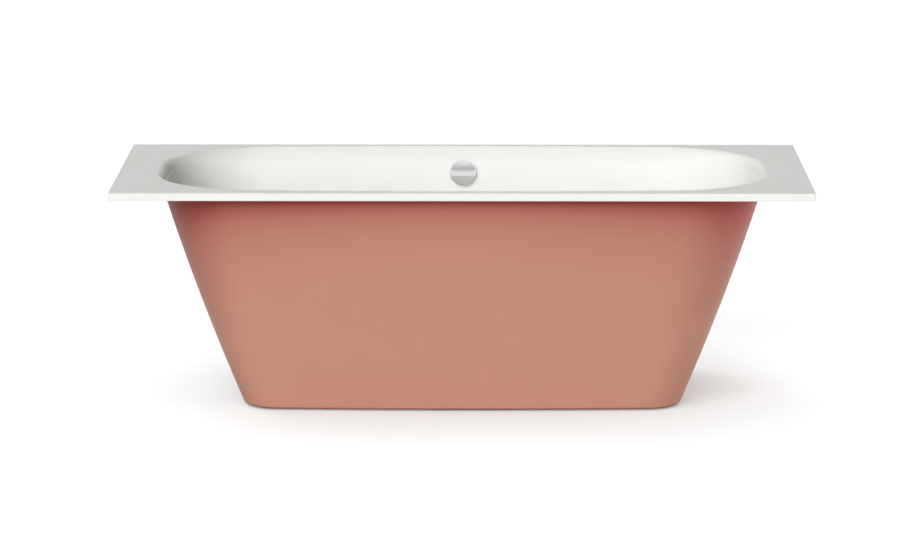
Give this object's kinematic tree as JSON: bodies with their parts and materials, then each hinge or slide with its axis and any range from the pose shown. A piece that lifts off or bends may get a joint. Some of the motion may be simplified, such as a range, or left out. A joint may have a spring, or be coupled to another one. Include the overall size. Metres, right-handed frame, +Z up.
{
  "type": "built-in bathtub",
  "caption": "Rectangular flat-rim bathtub with an oval basin, a tapered coloured skirt, a turning overflow knob that lifts the plug, and levelling feet.",
  "frame": {"origin": "on the floor under the middle of the rim", "axes": "+X along the bath, -Y the front seen in the picture, +Y the overflow side, +Z up"},
  "size_m": [1.8, 0.8, 0.595],
  "materials": {
    "white_enamel": "gloss",
    "salmon_enamel": "satin",
    "core_board": "matte",
    "foam_tape": "matte",
    "zinc_steel": "satin",
    "black_plastic": "matte",
    "grey_plastic": "satin",
    "white_plastic": "satin",
    "black_rubber": "matte",
    "bitumen": "matte",
    "chrome_plate": "polished"
  },
  "bodies": {
    "bath": {"tub": "white_enamel", "skirt": "salmon_enamel", "rim_core": "core_board", "skirt_tape": "foam_tape", "skirt_screws": "zinc_steel", "rail_left": "zinc_steel", "rail_right": "zinc_steel", "rail_end_caps": "black_plastic", "rail_pads": "black_rubber", "foot_nuts": "zinc_steel", "foot_lock_nuts": "zinc_steel", "floor_mat": "bitumen", "earth_lug": "zinc_steel", "waste_seal_upper": "black_rubber", "waste_seal_lower": "black_rubber", "waste_flange": "chrome_plate", "waste_body": "white_plastic", "lever_pin": "zinc_steel", "trap_body": "white_plastic", "trap_washer": "black_rubber", "trap_nut": "white_plastic", "overflow_seal": "black_rubber", "overflow_body": "white_plastic", "overflow_plate": "white_plastic", "overflow_screws": "zinc_steel", "overflow_hose": "grey_plastic", "hose_clamps": "zinc_steel", "lift_cable": "black_plastic"},
    "knob": {"overflow_knob": "chrome_plate", "overflow_spindle": "zinc_steel", "cable_drum": "grey_plastic"},
    "plug": {"plug": "chrome_plate", "plug_seal": "black_rubber"},
    "lever": {"lift_lever": "grey_plastic"},
    "foot_front_left": {"foot_bolt_front_left": "zinc_steel", "foot_pad_front_left": "black_plastic"},
    "foot_front_right": {"foot_bolt_front_right": "zinc_steel", "foot_pad_front_right": "black_plastic"},
    "foot_back_left": {"foot_bolt_back_left": "zinc_steel", "foot_pad_back_left": "black_plastic"},
    "foot_back_right": {"foot_bolt_back_right": "zinc_steel", "foot_pad_back_right": "black_plastic"}
  },
  "joints": [
    {"name": "knob_turn", "type": "hinge", "parent": "bath", "child": "knob", "pos_m": [0, 0.33235, 0.528], "axis": [0, -0.9812, 0.1929], "range_deg": [0, 100]},
    {"name": "plug_lift", "type": "slide", "parent": "bath", "child": "plug", "axis": [0, 0, 1], "range_m": [0, 0.012]},
    {"name": "lever_swing", "type": "hinge", "parent": "bath", "child": "lever", "pos_m": [0, 0.088, 0.12], "axis": [1, 0, 0], "range_deg": [0, 31.65]},
    {"name": "foot_front_left_level", "type": "slide", "parent": "bath", "child": "foot_front_left", "axis": [0, 0, -1], "range_m": [-0.008, 0.01]},
    {"name": "foot_front_right_level", "type": "slide", "parent": "bath", "child": "foot_front_right", "axis": [0, 0, -1], "range_m": [-0.008, 0.01]},
    {"name": "foot_back_left_level", "type": "slide", "parent": "bath", "child": "foot_back_left", "axis": [0, 0, -1], "range_m": [-0.008, 0.01]},
    {"name": "foot_back_right_level", "type": "slide", "parent": "bath", "child": "foot_back_right", "axis": [0, 0, -1], "range_m": [-0.008, 0.01]}
  ],
  "couplings": [
    {"joint": "plug_lift", "follows": "knob_turn", "m_per_rad": 0.0068755},
    {"joint": "lever_swing", "follows": "knob_turn", "ratio": 0.31653}
  ]
}
